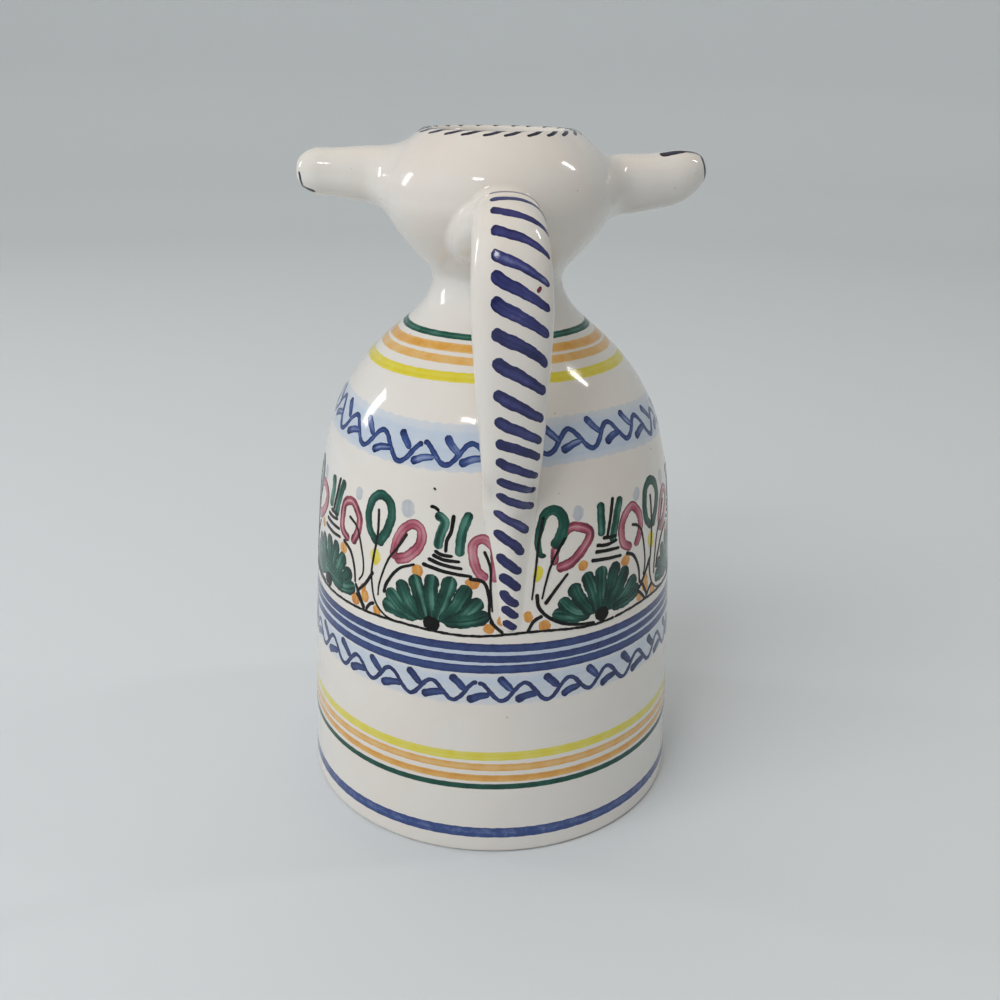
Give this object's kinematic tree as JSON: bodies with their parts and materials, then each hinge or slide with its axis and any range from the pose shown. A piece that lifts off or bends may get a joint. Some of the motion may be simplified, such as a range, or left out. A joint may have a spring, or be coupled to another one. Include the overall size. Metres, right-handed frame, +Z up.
{
  "type": "spouted jug",
  "caption": "Glazed earthenware jug with a bell-shaped body, narrow neck, bulbous open head with side and front spouts, and a pulled back handle.",
  "frame": {"origin": "centre of the flat base, on the axis that the body is turned about", "axes": "+Z up along the turning axis; the handle is on the -Y side and the front spout on the +Y side; +X is to the right seen from the handle"},
  "size_m": [0.1385, 0.1436, 0.23],
  "materials": {
    "white_glaze": "glossy tin glaze",
    "cobalt_paint": "glossy in-glaze brushwork",
    "green_paint": "glossy in-glaze brushwork",
    "yellow_paint": "glossy in-glaze brushwork",
    "orange_paint": "glossy in-glaze brushwork",
    "pink_paint": "glossy in-glaze brushwork",
    "black_paint": "glossy in-glaze brushwork"
  },
  "bodies": {
    "root": {"body": "white_glaze", "head": "white_glaze", "left_spout": "white_glaze", "right_spout": "white_glaze", "front_spout": "white_glaze", "handle": "white_glaze"}
  },
  "joints": []
}
